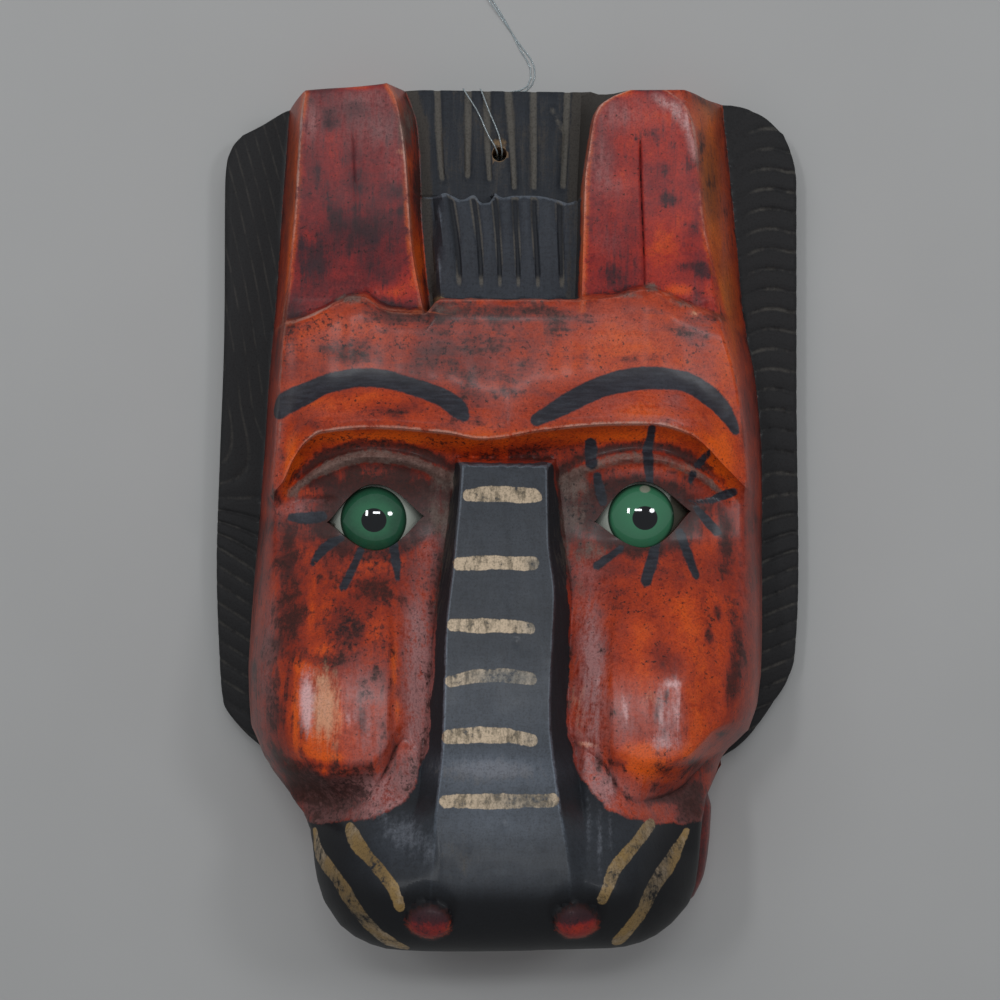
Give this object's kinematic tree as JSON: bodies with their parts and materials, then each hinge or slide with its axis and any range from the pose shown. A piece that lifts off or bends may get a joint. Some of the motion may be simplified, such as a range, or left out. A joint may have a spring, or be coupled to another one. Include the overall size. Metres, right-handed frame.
{
  "type": "carved wooden horse mask",
  "caption": "Carved and painted wooden horse mask with a flat mane board, glass eyes, a hollow back and a thin loop of hanging line.",
  "frame": {"origin": "middle of the flat back rim, on the plane that the mask lies on, measured without the hanging line", "axes": "+Z is the way the face looks, +Y runs from the muzzle up to the ears, +X is to the right as seen from the front"},
  "size_m": [0.2097, 0.3552, 0.1023],
  "materials": {
    "painted_wood": "orange-red, black and gold paint under a worn varnish, bare wood inside",
    "eye_glass": "glossy glass over a painted green iris, black pupil and grey-white ground",
    "clear_line": "clear, smooth"
  },
  "bodies": {
    "root": {"carved_mask": "painted_wood", "glass_eye_left": "eye_glass", "glass_eye_right": "eye_glass", "hanging_line": "clear_line", "line_knot": "clear_line"}
  },
  "joints": []
}
